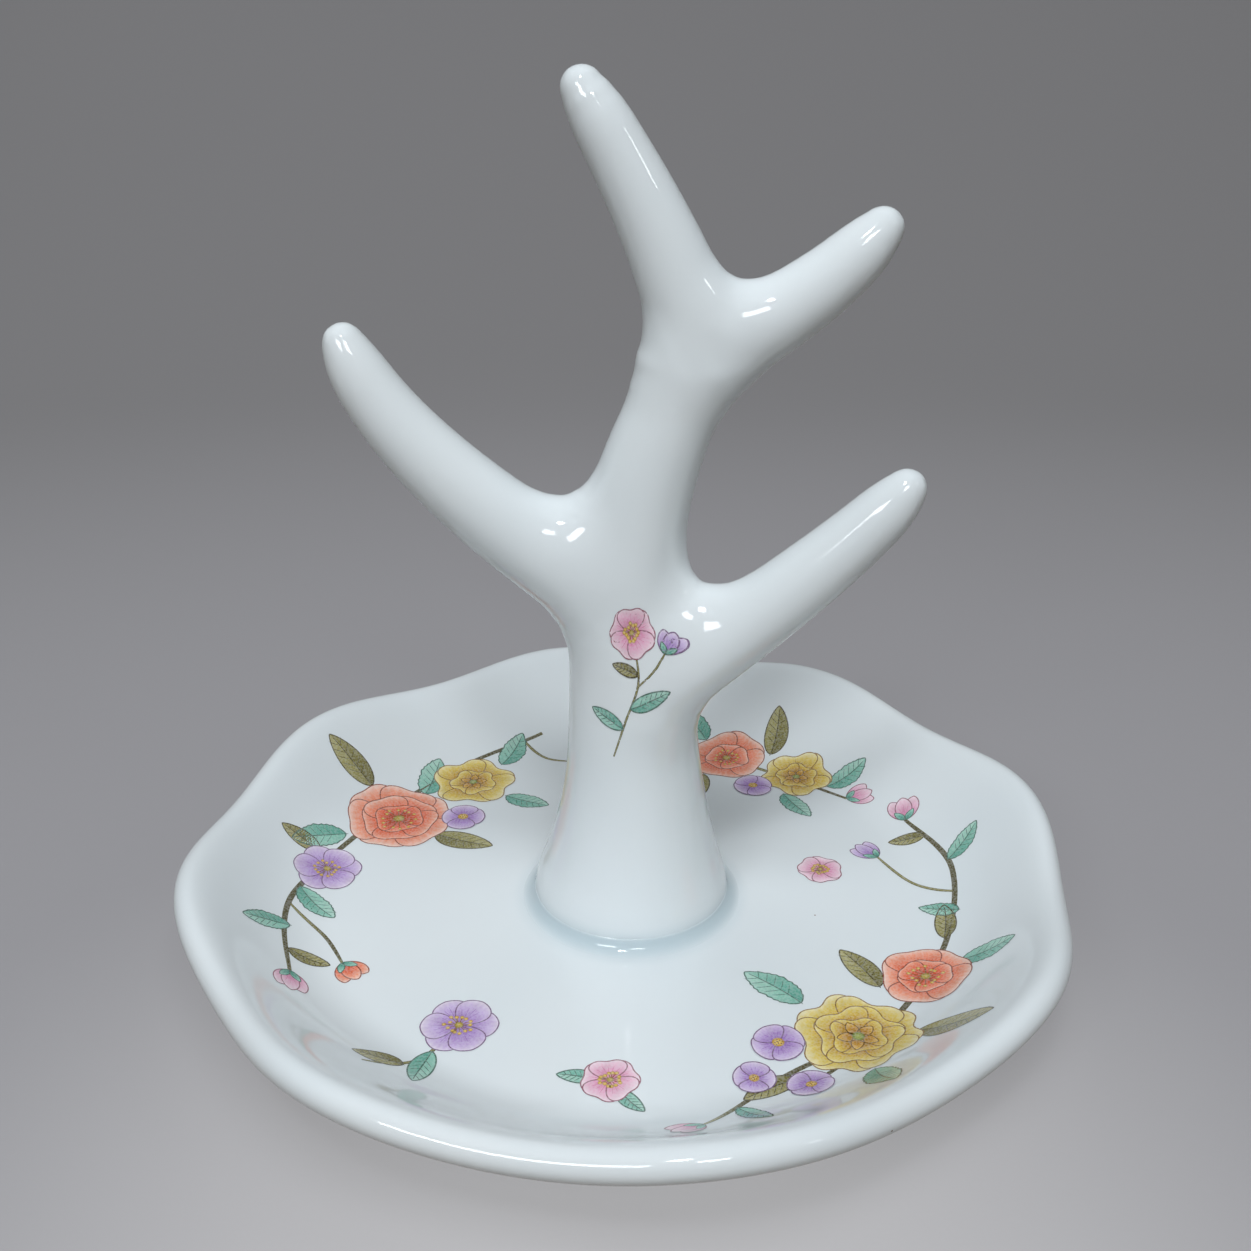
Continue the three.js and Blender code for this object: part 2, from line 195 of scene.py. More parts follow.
def printedEnamel():
    # Ceramic transfer fired into the glaze: mineral colour broken by the dots of the printing
    # screen, a little uneven where it was laid, and as glossy as the body round it
    look = enamelLook
    made = newMaterial("printed_enamel")
    place = addNode(made, "ShaderNodeTexCoord").outputs["Object"]
    ink = addNode(made, "ShaderNodeAttribute", attribute_name="ink")
    dots = addNode(made, "ShaderNodeTexVoronoi", {
        "Vector": place, "Scale": 1 / (look["screen"] * mm)})
    gaps = addNode(made, "ShaderNodeMapRange", {
        "Value": dots.outputs["Distance"], "From Min": 0.25, "From Max": 0.75,
        "To Min": 0, "To Max": look["screenGap"]})
    screened = addNode(made, "ShaderNodeMix", {
        "Factor": gaps.outputs["Result"], 6: ink.outputs["Color"], 7: linear(glazeLook["body"])},
        data_type="RGBA")
    patch = addNode(made, "ShaderNodeTexNoise", {
        "Vector": place, "Scale": 1 / (look["patch"] * mm), "Detail": 2})
    depth = addNode(made, "ShaderNodeMapRange", {
        "Value": patch.outputs["Fac"], "From Min": 0.35, "From Max": 0.7,
        "To Min": 0, "To Max": look["patchDepth"]})
    uneven = addNode(made, "ShaderNodeMix", {
        "Factor": depth.outputs["Result"], 6: screened.outputs[2], 7: linear(look["heavy"])},
        data_type="RGBA", blend_type="MULTIPLY")
    enamel = addNode(made, "ShaderNodeBsdfPrincipled", {
        "Base Color": uneven.outputs[2], "Roughness": look["roughness"], "IOR": glazeLook["ior"],
        "Normal": glazeWaves(made, place)})
    addNode(made, "ShaderNodeOutputMaterial", {"Surface": enamel.outputs["BSDF"]})
    return made


# how much pooled glaze and painted crease shade tint it, over which reach from the tree's middle
# and which height it fades
dishGlaze = glazedPorcelain("glazed_porcelain_dish", 0.22, (14.2, 16.5), (6.8, 9), wiped=True)
treeGlaze = glazedPorcelain("glazed_porcelain_tree", 0.35, (14, 20), (7.4, 9.6))
slipGlaze = glazedPorcelain("pooled_glaze_and_painted_shade_on_slip", 0.75, (13.2, 15.6), (7.4, 8.6))
printEnamel = printedEnamel()
print("materials made")


# Saucer: the section is turned about Z and its rim pressed into eight lobes

dish = {
    "radius": 57.5, "rimHeight": 15.7, "lipRadius": 1.9, "floorRadius": 39, "floorHeight": 6.2,
    "ventRadius": 2, "ventEdge": 0.3, "ringInner": 32.3, "ringOuter": 35.7, "ringHeight": 2.6,
    "edgeRadius": 0.8,
    "lipTurns": (-0.22, 0.58),      # where the lip's round starts and ends, in half turns
    "wallHandles": (0.18, 0.42),    # pull of the wall's curve at the lip and the floor
    "underHandles": (0.22, 0.45),   # and of the underside's, at the lip and the foot ring
    "lobes": 8, "lobeDepth": 0.84, "lobeRise": 0.9, "lobeTurn": 0.26,
    "steps": 400,
}


def arc(centreX, centreY, radius, start, end, count):
    turn = np.pi * np.linspace(start, end, count + 1)
    return np.stack([centreX + radius * np.cos(turn), centreY + radius * np.sin(turn)], axis=1)


def bow(start, startHandle, endHandle, end, count):
    t = np.linspace(0, 1, count + 1)[:, None]
    a, b, c, d = (np.asarray(p, float) for p in (start, startHandle, endHandle, end))
    return (1 - t) ** 3 * a + 3 * (1 - t) ** 2 * t * b + 3 * (1 - t) * t * t * c + t ** 3 * d


def leavingTangent(point, centre, length):
    outward = (point - centre) / np.linalg.norm(point - centre)
    return point + length * np.array([-outward[1], outward[0]])


lipCentre = np.array([dish["radius"] - dish["lipRadius"], dish["rimHeight"] - dish["lipRadius"]])
wallRun = dish["radius"] - dish["floorRadius"]
lip = arc(*lipCentre, dish["lipRadius"], *dish["lipTurns"], 20)
lipHandle = leavingTangent(lip[-1], lipCentre, wallRun * dish["wallHandles"][0])
floorHandle = [dish["floorRadius"] + wallRun * dish["wallHandles"][1], dish["floorHeight"]]
wall = bow(lip[-1], lipHandle, floorHandle, [dish["floorRadius"], dish["floorHeight"]], 44)


def dishSection():
    inner, outer, edge = dish["ringInner"], dish["ringOuter"], dish["edgeRadius"]
    top, vent, ventEdge = dish["ringHeight"], dish["ventRadius"], dish["ventEdge"]
    lipPull, ringPull = dish["underHandles"]
    start = np.array([outer + edge, top])
    underside = bow(start, start + [(dish["radius"] - outer) * ringPull, 0],
                    leavingTangent(lip[0], lipCentre, -wallRun * lipPull), lip[0], 30)
    floorLine = np.stack([np.linspace(dish["floorRadius"], vent + ventEdge, 26),
                          np.full(26, dish["floorHeight"])], axis=1)
    below = np.stack([np.linspace(vent + ventEdge, inner - edge, 20), np.full(20, top)], axis=1)
    return np.concatenate([
        arc(vent + ventEdge, top + ventEdge, ventEdge, 1, 1.5, 3)[:-1], below[:-1],
        arc(inner - edge, top - edge, edge, 0.5, 0, 6),
        arc(inner + edge, edge, edge, 1, 1.5, 6),
        arc(outer - edge, edge, edge, -0.5, 0, 6),
        arc(outer + edge, top - edge, edge, 1, 0.5, 6)[:-1],
        underside[:-1], lip[:-1], wall[:-1], floorLine[:-1],
        arc(vent + ventEdge, dish["floorHeight"] - ventEdge, ventEdge, 0.5, 1, 3),
    ])


def scallop(points):
    radius = np.hypot(points[:, 0], points[:, 1])
    share = smoothStep(radius, dish["floorRadius"], dish["radius"])
    turn = dish["lobeTurn"] * 2 * np.pi / dish["lobes"]
    wave = share * np.cos(dish["lobes"] * (np.arctan2(points[:, 1], points[:, 0]) - turn))
    spread = 1 + wave * dish["lobeDepth"] / np.maximum(radius, 1)
    height = points[:, 2] + wave * dish["lobeRise"]
    return np.stack([points[:, 0] * spread, points[:, 1] * spread, height], axis=1)


def revolve(section, steps, centreX=0.0):
    turn = np.linspace(0, 2 * np.pi, steps, endpoint=False)
    points = np.stack([np.outer(np.cos(turn), section[:, 0]) + centreX,
                       np.outer(np.sin(turn), section[:, 0]),
                       np.tile(section[:, 1], (steps, 1))], axis=-1)
    count = len(section)
    i, j = np.meshgrid(np.arange(steps), np.arange(count), indexing="ij")
    iNext, jNext = (i + 1) % steps, (j + 1) % count
    faces = np.stack([i * count + j, iNext * count + j, iNext * count + jNext, i * count + jNext],
                     axis=-1)
    return points.reshape(-1, 3), faces.reshape(-1, 4)


dishPoints, dishFaces = revolve(dishSection(), dish["steps"])
dishPiece = makePiece("saucer_glazed", scallop(dishPoints), dishFaces, dishGlaze)
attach(dishPiece, "root")
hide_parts("dish")
print("saucer made", len(dishFaces))


# Slip run round the foot: a hollow fillet of pooled glaze from the floor up the trunk

slip = {
    "offset": 0.5, "floorReach": 14.75, "topHeight": 7.95, "trunkReach": 13.0, "tuckReach": 11.4,
    "bed": 6.19,                                      # a hair below the saucer's floor
    "floorPull": 0.75, "trunkPull": 0.12, "pullHeight": 6.9,   # hollow of the fillet
    "tuckIn": 0.25, "tuckUp": 0.1,                    # what runs on inside the trunk's foot
    "steps": 240,
}
slipCurve = bow([slip["floorReach"], slip["bed"]],
                [slip["floorReach"] - slip["floorPull"], dish["floorHeight"]],
                [slip["trunkReach"] + slip["trunkPull"], slip["pullHeight"]],
                [slip["trunkReach"], slip["topHeight"]], 12)
slipTop = slip["topHeight"] + slip["tuckUp"]
slipSection = np.concatenate([[[slip["tuckReach"], slip["bed"]]], slipCurve,
                              [[slip["trunkReach"] - slip["tuckIn"], slipTop],
                               [slip["tuckReach"], slipTop]]])
slipPoints, slipFaces = revolve(slipSection, slip["steps"], slip["offset"])
# its material is bluish pooled glaze, darkened as painted shade in the crease round the foot
slipPiece = makePiece("slip_fillet", slipPoints, slipFaces, slipGlaze)
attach(slipPiece, "root")
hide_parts("slip_joint")
print("slip made", len(slipFaces))


# Tree: tapered tubes along curves, blended where they fork, meshed as one hollow casting

tree = {
    "offset": 0.5, "seatHeight": 6.8, "wall": 3, "narrowestBore": 2, "trim": 5.25,
    "upperBlend": 6.8, "lowerBlend": 10.7, "trunkSamples": 66, "limbSamples": 26,
    "tipLength": 5, "tipNarrowing": 0.4, "cell": 0.95,
    "sponging": [0.6, 0.6], "fettling": [0.6, -0.62] * 22,   # strokes, see sponged
}
trunk = {
    "rootRadius": 10, "tipRadius": 4.65, "flare": 3, "flareHeight": 23, "curveSamples": 600,
    "curve": [(0, 0, 0), (1.974, 0, 44.928), (-6.298, 0, 45.696), (9.4, 0, 76.8)],
}
limbs = {   # root, tip, shares of the way at which it bows, radii at root and tip, and its blend
    "top": ((8.1, 0, 72), (-5.35, 0, 101.4), 0.17, 0.385, 5.6, 3.1, "upperBlend"),
    "upperRight": ((5.5, 0, 71.8), (27.5, 0, 87.1), 0.7, 0.465, 5.2, 3.05, "upperBlend"),
    "lowerRight": ((2.7, -3, 32), (31.6, -5, 58.7), 0.81, 0.71, 5.2, 3.05, "lowerBlend"),
    "left": ((-0.9, 0, 42.3), (-32.85, 0, 74.3), 0.84, 0.555, 6, 3.15, "lowerBlend"),
}


def evenly(points, count):
    # the same number of steps, but of one length
    run = np.concatenate([[0], np.cumsum(np.linalg.norm(np.diff(points, axis=0), axis=1))])
    at = np.linspace(0, run[-1], count + 1)
    return np.stack([np.interp(at, run, points[:, i]) for i in range(points.shape[1])], axis=1)


def trunkTube():
    line = evenly(bow(*trunk["curve"], trunk["curveSamples"]), tree["trunkSamples"])
    line = np.concatenate([[[0, 0, -tree["trim"]]], line])
    narrowing = trunk["tipRadius"] - trunk["rootRadius"]
    taper = trunk["rootRadius"] + narrowing * line[:, 2] / trunk["curve"][-1][2]
    radius = taper + trunk["flare"] * np.maximum(1 - line[:, 2] / trunk["flareHeight"], 0) ** 2
    return line, radius


def limbTube(root, tip, bowReach, bowHeight, rootRadius, tipRadius):
    root, tip = np.array(root, float), np.array(tip, float)
    middle = root + (tip - root) * [bowReach, bowReach, bowHeight]
    t = np.linspace(0, 1, tree["limbSamples"] + 1)[:, None]
    line = (1 - t) ** 2 * root + 2 * t * (1 - t) * middle + t * t * tip
    nearTip = np.maximum(1 - np.linalg.norm(line - tip, axis=1) / tree["tipLength"], 0)
    taper = rootRadius + (tipRadius - rootRadius) * t[:, 0]
    return line, taper * np.sqrt(1 - tree["tipNarrowing"] * nearTip ** 2)


def tubeField(points, line, radius):
    nearest = np.full(len(points), np.inf)
    outward = np.zeros_like(points)
    for a, b, ra, rb in zip(line[:-1], line[1:], radius[:-1], radius[1:]):
        along = b - a
        off = points - a
        share = np.clip(off @ along / (along @ along), 0, 1)
        away = off - share[:, None] * along
        reach = np.sqrt(np.einsum("ij,ij->i", away, away))
        distance = reach - ra - (rb - ra) * share
        closer = distance < nearest
        nearest[closer] = distance[closer]
        outward[closer] = away[closer] / np.maximum(reach[closer], 1e-9)[:, None]
    return nearest, outward


def forked(tubes, points):
    # a fillet in each crotch, and none where two limbs face the same way
    joined, outward = tubeField(points, *tubes[0][:2])
    for line, radius, blend in tubes[1:]:
        distance, facing = tubeField(points, line, radius)
        spread = np.sqrt(np.maximum(1 - np.einsum("ij,ij->i", outward, facing), 0) / 2)
        reach = blend * np.maximum(spread, 1e-3)
        near = np.maximum(1 - np.abs(joined - distance) / reach, 0)
        share = np.clip(0.5 + (joined - distance) / (2 * reach), 0, 1)[:, None]
        outward = outward * (1 - share) + facing * share
        outward /= np.maximum(np.linalg.norm(outward, axis=1), 1e-9)[:, None]
        joined = np.minimum(joined, distance) - near * near * reach / 4
    return joined


tubes = [(*trunkTube(), tree["upperBlend"])]
tubes += [(*limbTube(*limb[:6]), tree[limb[6]]) for limb in limbs.values()]
bores = []
for line, radius, blend in tubes:
    wide = radius - tree["wall"]
    narrow = wide < tree["narrowestBore"]
    closed = int(np.argmax(narrow)) if narrow.any() else len(wide)
    if closed > 1:
        bores.append((line[:closed], wide[:closed], blend))


def skinField(points):
    return forked(tubes, points)


def castingField(points):
    # the skin, open underneath and drained inside
    return np.maximum(np.maximum(skinField(points), -forked(bores, points)), -points[:, 2])


def surfaceNet(field, low, high, cell):
    counts = np.ceil((high - low) / cell).astype(int) + 1
    axes = [low[i] + cell * np.arange(counts[i]) for i in range(3)]
    grid = np.stack(np.meshgrid(*axes, indexing="ij"), axis=-1).reshape(-1, 3)
    values = field(grid).reshape(counts)
    inside = values < 0
    ends = counts - 1
    total = sum(inside[i:ends[0] + i, j:ends[1] + j, k:ends[2] + k].astype(int)
                for i, j, k in product((0, 1), repeat=3))
    mixed = (total > 0) & (total < 8)
    number = np.full(mixed.shape, -1)
    number[mixed] = np.arange(mixed.sum())
    at = np.argwhere(mixed)
    sums, hits = np.zeros((len(at), 3)), np.zeros(len(at))
    for axis in range(3):
        for others in product((0, 1), repeat=2):
            start = np.insert(others, axis, 0)
            end = np.insert(others, axis, 1)
            a, b = values[tuple((at + start).T)], values[tuple((at + end).T)]
            crossed = (a < 0) != (b < 0)
            place = (at + start).astype(float)
            place[crossed, axis] += a[crossed] / (a[crossed] - b[crossed])
            sums[crossed] += place[crossed]
            hits += crossed
    points = low + cell * sums / hits[:, None]
    faces = []
    for axis in range(3):
        side, other = (axis + 1) % 3, (axis + 2) % 3
        first = np.take(inside, np.arange(counts[axis] - 1), axis)
        second = np.take(inside, np.arange(1, counts[axis]), axis)
        edge = np.argwhere(first != second)
        kept = (edge[:, side] > 0) & (edge[:, other] > 0)
        kept &= (edge[:, side] < ends[side]) & (edge[:, other] < ends[other])
        edge = edge[kept]
        stepSide, stepOther = np.eye(3, dtype=int)[side], np.eye(3, dtype=int)[other]
        steps = (0 * stepSide, stepSide, stepSide + stepOther, stepOther)
        quad = np.stack([number[tuple((edge - step).T)] for step in steps], axis=1)
        backward = ~inside[tuple(edge.T)]
        quad[backward] = quad[backward][:, ::-1]
        faces.append(quad)
    return points, np.concatenate(faces)


def settle(field, points, rounds):
    # moves the points onto the surface, down the field's slope and never far at once
    step, leastSlope, longest = 0.01, 0.05, 0.4
    for _ in range(rounds):
        here = field(points)
        slope = np.stack([(field(points + step * axis) - here) / step for axis in np.eye(3)],
                         axis=1)
        steep = np.maximum(np.einsum("ij,ij->i", slope, slope), leastSlope)
        points = points - np.clip((here / steep)[:, None] * slope, -longest, longest)
    return points


def edgesOf(faces):
    pairs = np.concatenate([faces[:, [i, (i + 1) % 4]] for i in range(4)])
    edges, place = np.unique(np.sort(pairs, axis=1), axis=0, return_inverse=True)
    return edges, place.reshape(4, -1)


def sponged(points, edges, strokes):
    # each stroke moves a vertex that share of the way to the mean of its neighbours, or back
    count = np.bincount(edges.ravel(), minlength=len(points))
    for share in strokes:
        total = np.zeros_like(points)
        for a, b in ((0, 1), (1, 0)):
            for i in range(3):
                total[:, i] += np.bincount(edges[:, a], weights=points[edges[:, b], i],
                                           minlength=len(points))
        points = points + share * (total / count[:, None] - points)
    return points


def quartered(points, faces):
    edges, place = edgesOf(faces)
    middles = points[edges].mean(axis=1)
    centres = points[faces].mean(axis=1)
    firstMiddle, firstCentre = len(points), len(points) + len(edges)
    centre = firstCentre + np.arange(len(faces))
    finer = [np.stack([faces[:, i], firstMiddle + place[i], centre, firstMiddle + place[i - 1]],
                      axis=1) for i in range(4)]
    return np.concatenate([points, middles, centres]), np.concatenate(finer)


cell = tree["cell"]
low = np.min([(line - radius[:, None]).min(axis=0) for line, radius, _ in tubes], axis=0) - cell
high = np.max([(line + radius[:, None]).max(axis=0) for line, radius, _ in tubes], axis=0) + cell
low[2] = -1.5 * cell   # the cut under the foot falls between two layers of the grid
treePoints, treeFaces = surfaceNet(castingField, low, high, cell)
treePoints = settle(castingField, treePoints, 2)
treePoints = sponged(treePoints, edgesOf(treeFaces)[0], tree["sponging"])
treePoints = settle(castingField, treePoints, 2)
treePoints, treeFaces = quartered(treePoints, treeFaces)
treePoints = settle(castingField, treePoints, 2)
treePoints = sponged(treePoints, edgesOf(treeFaces)[0], tree["fettling"])   # no seam or crease left
treeStand = np.array([tree["offset"], 0, tree["seatHeight"]])
treePiece = makePiece("tree_glazed", treePoints + treeStand, treeFaces, treeGlaze)
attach(treePiece, "root")
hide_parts("tree")
print("tree made", len(treeFaces))


# Prints: flowers drawn flat in millimetres and laid on the glaze, a few thousandths apart

inkTones = {   # from the heart of a petal to its edge, or from the foot of a leaf to its tip
    "coral": ["#C23A16", "#E8653C", "#F29C7C", "#F9DACB"],
    "yellow": ["#8A5E10", "#C79A2C", "#E3CB62", "#F2E9BA"],
    "lilac": ["#8A66B2", "#B18FCF", "#CFB9E2", "#E9DEF0"],
    "pink": ["#D0709A", "#E39EC0", "#F0C9DB", "#F8E6EE"],
    "teal": ["#3F8C7C", "#67AF9C", "#93CBB9", "#B6DDCF"],
    "olive": ["#56501E", "#7A7436", "#9C9658", "#B5AF78"],
    "stem": ["#6E6A34", "#A39E62", "#8A854A", "#5E5A2A"],
    "ochre": ["#8E6214", "#C6922A", "#E6C25C"],
}
inkLines = {"coral": "#93422A", "yellow": "#8F6A28", "lilac": "#7C5C86", "pink": "#9A6072",
            "teal": "#4A7062", "olive": "#4C431E", "stem": "#57502A", "ochre": "#6B4A12"}
printing = {
    "seed": 7, "layer": 0.003,                 # height of one printed layer over the next
    "dishLift": 0.02, "trunkLift": 0.04,       # of the lowest over the glaze
    "petalLine": 0.16, "vein": 0.1, "leafLine": 0.19, "rib": 0.18,
    "stemEdge": 0.14, "stemStep": 0.35,
    "trunkRadius": 9,                          # that the flat twig is bent round
    "lipReach": 0.2,                           # where on the lip's round a print may end
}
inkRandom = np.random.default_rng(printing["seed"])


def shade(tones, share):
    stops = np.array([linear(tone)[:3] for tone in tones])
    at = np.clip(share, 0, 1) * (len(tones) - 1)
    return np.stack([np.interp(at, np.arange(len(tones)), stops[:, i]) for i in range(3)], axis=1)


def placed(points, stand):
    x, y, turn = stand
    c, s = math.cos(math.radians(turn)), math.sin(math.radians(turn))
    return points @ np.array([[c, s], [-s, c]]) + [x, y]


def newSheet():
    return {"points": [], "levels": [], "colours": [], "faces": [], "count": 0}


def addGrid(sheet, grid, level, colours, closed):
    # a grid of points, row by row, joined by quads
    rows, columns = grid.shape[:2]
    i, j = np.meshgrid(np.arange(rows - 1), np.arange(columns if closed else columns - 1),
                       indexing="ij")
    after = (j + 1) % columns
    faces = np.stack([i * columns + j, i * columns + after,
                      (i + 1) * columns + after, (i + 1) * columns + j], axis=-1)
    sheet["points"].append(grid.reshape(-1, 2))
    sheet["levels"].append(np.full(rows * columns, float(level)))
    sheet["colours"].append(colours)
    sheet["faces"].append(faces.reshape(-1, 4) + sheet["count"])
    sheet["count"] += rows * columns


def addStroke(sheet, line, width, level, tones, taper=0.0):
    # a brush line, narrowing towards its ends by the taper
    heading = np.gradient(line, axis=0)
    heading /= np.maximum(np.linalg.norm(heading, axis=1), 1e-9)[:, None]
    side = np.stack([heading[:, 1], -heading[:, 0]], axis=1)
    columns = max(len(tones), 2)
    ends = 1 - taper * np.abs(np.linspace(-1, 1, len(line))) ** 3
    grid = np.stack([line + side * (width * ends * (0.5 - k / (columns - 1)))[:, None]
                     for k in range(columns)], axis=1)
    colours = np.tile(shade(tones, np.linspace(0, 1, columns)), (len(line), 1))
    colours = colours.reshape(len(line), columns, 3).transpose(1, 0, 2)[::-1]
    addGrid(sheet, grid.transpose(1, 0, 2)[::-1], level, colours.reshape(-1, 3), False)


def petalOutline(length, width, fullest=1.5, pointed=0.0, notch=0.0, bend=0.0, teeth=0.0):
    # from the foot round the tip and back, and the line down the middle that it is filled from
    share = (1 - np.cos(np.linspace(0, np.pi, 31))) / 2
    half = width / 2 * (1 - (2 * share ** fullest - 1) ** 2) ** (0.5 + 0.5 * pointed)
    half = half * (1 + teeth * ((share * 9) % 1 - 0.5))
    along = np.concatenate([share, share[-2:0:-1]]) * length
    across = np.concatenate([half, -half[-2:0:-1]])
    dent = notch * length * np.exp(-(across / (0.2 * width)) ** 2)
    dent = dent * smoothStep(along, 0.6 * length, length)
    outline = np.stack([along - dent, across], axis=1)
    spine = np.stack([np.clip(along, 0.1 * length, (0.75 - notch) * length), 0 * across], axis=1)
    for line in (outline, spine):
        line[:, 1] += bend * length * (line[:, 0] / length) ** 2
    return outline, spine


def addPetal(sheet, stand, ink, level, length, width, veins=5, line=printing["petalLine"],
             shift=0.0, **shape):
    outline, spine = petalOutline(length, width, **shape)
    rings = np.linspace(0, 1, 10)[:, None, None]
    grid = spine * (1 - rings) + outline * rings
    flat = grid.reshape(-1, 2)
    edge = np.repeat(rings.ravel(), len(outline))
    streak = 0.05 * np.cos(44 * np.arctan2(flat[:, 1], flat[:, 0] + 0.15 * length))
    share = 0.9 * flat[:, 0] / length + 0.22 * edge ** 3 + streak + shift - 0.05
    addGrid(sheet, placed(flat, stand).reshape(grid.shape), level,
            shade(inkTones[ink], share), True)
    for k in range(veins):
        lean = (k - (veins - 1) / 2) / max(veins, 1)
        reach = length * (0.78 - 0.5 * abs(lean)) * inkRandom.uniform(0.8, 1)
        t = np.linspace(0.12, 1, 12)
        vein = np.stack([t * reach, lean * width * 0.8 * t ** 1.3], axis=1)
        vein[:, 1] += shape.get("bend", 0) * length * (vein[:, 0] / length) ** 2
        addStroke(sheet, placed(vein, stand), printing["vein"], level + 0.5, inkTones[ink][:2], 0.7)
    edging = placed(np.concatenate([outline, outline[:2]]), stand)
    addStroke(sheet, edging, line, level + 1, [inkLines[ink]])


def addDot(sheet, x, y, radius, level, tones):
    turn = np.linspace(0, 2 * np.pi, 15)[:-1]
    rings = np.array([0.05, 0.6, 1])[:, None, None]
    circle = np.stack([np.cos(turn), -np.sin(turn)], axis=1)
    colours = np.repeat(shade(tones, np.linspace(0, 1, 3)), len(turn), axis=0)
    addGrid(sheet, circle * rings * radius + [x, y], level, colours, True)


def addLeaf(sheet, stand, ink, level, length, width, bend=0.15, teeth=0.0):
    outline, spine = petalOutline(length, width, 0.85, 0.55, 0, bend, teeth)
    rings = np.linspace(0, 1, 9)[:, None, None]
    grid = spine * (1 - rings) + outline * rings
    flat = grid.reshape(-1, 2)
    middle = bend * length * (flat[:, 0] / length) ** 2
    side = np.sign(flat[:, 1] - middle)
    edge = np.repeat(rings.ravel(), len(outline))
    share = 0.3 + 0.45 * flat[:, 0] / length + 0.16 * side + 0.1 * edge
    addGrid(sheet, placed(flat, stand).reshape(grid.shape), level,
            shade(inkTones[ink], share), True)
    t = np.linspace(-0.04, 0.93, 24)
    rib = np.stack([t * length, bend * length * t ** 2], axis=1)
    addStroke(sheet, placed(rib, stand), printing["rib"], level + 1, [inkLines[ink]], 0.5)
    for k in range(1, 6):
        for way in (-1, 1):
            at = 0.12 + 0.13 * k
            half = width / 2 * (1 - (2 * at ** 0.85 - 1) ** 2) ** 0.775
            s = np.linspace(0, 1, 7)
            run = at + 0.13 * s
            vein = np.stack([run * length, bend * length * run ** 2 + way * half * 0.82 * s ** 0.9],
                            axis=1)
            addStroke(sheet, placed(vein, stand), printing["vein"], level + 0.5,
                      [inkLines[ink]], 0.8)
    edging = placed(np.concatenate([outline, outline[:2]]), stand)
    addStroke(sheet, edging, printing["leafLine"], level + 1, [inkLines[ink]])


def addStem(sheet, through, width, level, ink="stem"):
    # a smooth line through a few points
    through = np.array(through, float)
    at = np.linspace(0, len(through) - 1, 24 * (len(through) - 1) + 1)
    line = np.zeros((len(at), 2))
    for k, t in enumerate(at):
        i = min(int(t), len(through) - 2)
        s = t - i
        p0, p1, p2, p3 = (through[min(max(i + n, 0), len(through) - 1)] for n in (-1, 0, 1, 2))
        line[k] = 0.5 * (2 * p1 + (p2 - p0) * s + (2 * p0 - 5 * p1 + 4 * p2 - p3) * s * s
                         + (3 * p1 - p0 - 3 * p2 + p3) * s ** 3)
    whole = np.linalg.norm(np.diff(line, axis=0), axis=1).sum()
    line = evenly(line, int(whole / printing["stemStep"]))
    addStroke(sheet, line, width + printing["stemEdge"], level, [inkLines[ink]], 0.35)
    addStroke(sheet, line, width, level + 0.5, inkTones[ink], 0.35)


def addBlossom(sheet, x, y, size, ink, level, turn, rings, heart="stamens", **shape):
    # rings of petals, widest first, each given as how many, how long and how broad
    for n, (count, longShare, broadShare) in enumerate(rings):
        length = size / 2 * longShare
        width = broadShare * 2.2 * length * math.sin(math.pi / count)
        for k in range(count):
            order = 2 if k == count - 1 and count % 2 else k % 2
            angle = turn + n * 180 / count + k * 360 / count + inkRandom.uniform(-4, 4)
            addPetal(sheet, (x, y, angle), ink, level + 6 * n + 2 * order,
                     length * inkRandom.uniform(0.95, 1.04), width,
                     shift=inkRandom.uniform(-0.06, 0.06) - 0.1 * n, **shape)
    top = level + 6 * len(rings)
    if heart == "stamens":
        addDot(sheet, x, y, size * 0.055, top + 2, ["#C9B04A", "#8E7A22"])
        for k in range(14):
            angle = 2 * math.pi * (k + inkRandom.uniform(-0.2, 0.2)) / 14
            reach = size * inkRandom.uniform(0.12, 0.19)
            ray = np.linspace(size * 0.04, reach, 6)[:, None] * [math.cos(angle), math.sin(angle)]
            ray = ray + [x, y]
            addStroke(sheet, ray, 0.12, top, ["#8A5A1C"])
            addDot(sheet, *ray[-1], 0.27, top + 1, ["#F0CF62", "#A87A1C"])
    elif heart == "star":
        for k in range(5):
            addPetal(sheet, (x, y, turn + 36 + 72 * k), "ochre", top, size * 0.17, size * 0.1,
                     veins=1, line=0.13, fullest=0.9, pointed=0.6)
        addDot(sheet, x, y, size * 0.05, top + 2, ["#A9B35A", "#6E7A2C"])
    else:
        addDot(sheet, x, y, size * 0.12, top, ["#F0D268", "#B98A2A"])
        for k in range(9):
            a, r = 2.4 * k, size * 0.03 * math.sqrt(k)
            addDot(sheet, x + r * math.cos(a), y + r * math.sin(a), 0.1, top + 1, ["#8A5A1C"])


def addBud(sheet, stand, size, ink, level):
    x, y, turn = stand
    for lean in (-24, 24, 0):
        addPetal(sheet, (x, y, turn + lean), ink, level + (2 if lean == 0 else 0),
                 size, size * 0.55, veins=3, fullest=1.1, pointed=0.35)
    for lean in (-38, 38):
        addPetal(sheet, (x, y, turn + lean), "teal", level + 4, size * 0.5, size * 0.22,
                 veins=1, line=0.14, fullest=0.9, pointed=0.6)


# how far out along the floor and up the wall a flat point lies
innerLine = np.concatenate([[[0, dish["floorHeight"]]],
                            bow(wall[-1], floorHandle, lipHandle, lip[-1], 700),
                            arc(*lipCentre, dish["lipRadius"], dish["lipTurns"][1],
                                printing["lipReach"], 90)[1:]])
innerRun = np.concatenate([[0], np.cumsum(np.linalg.norm(np.diff(innerLine, axis=0), axis=1))])


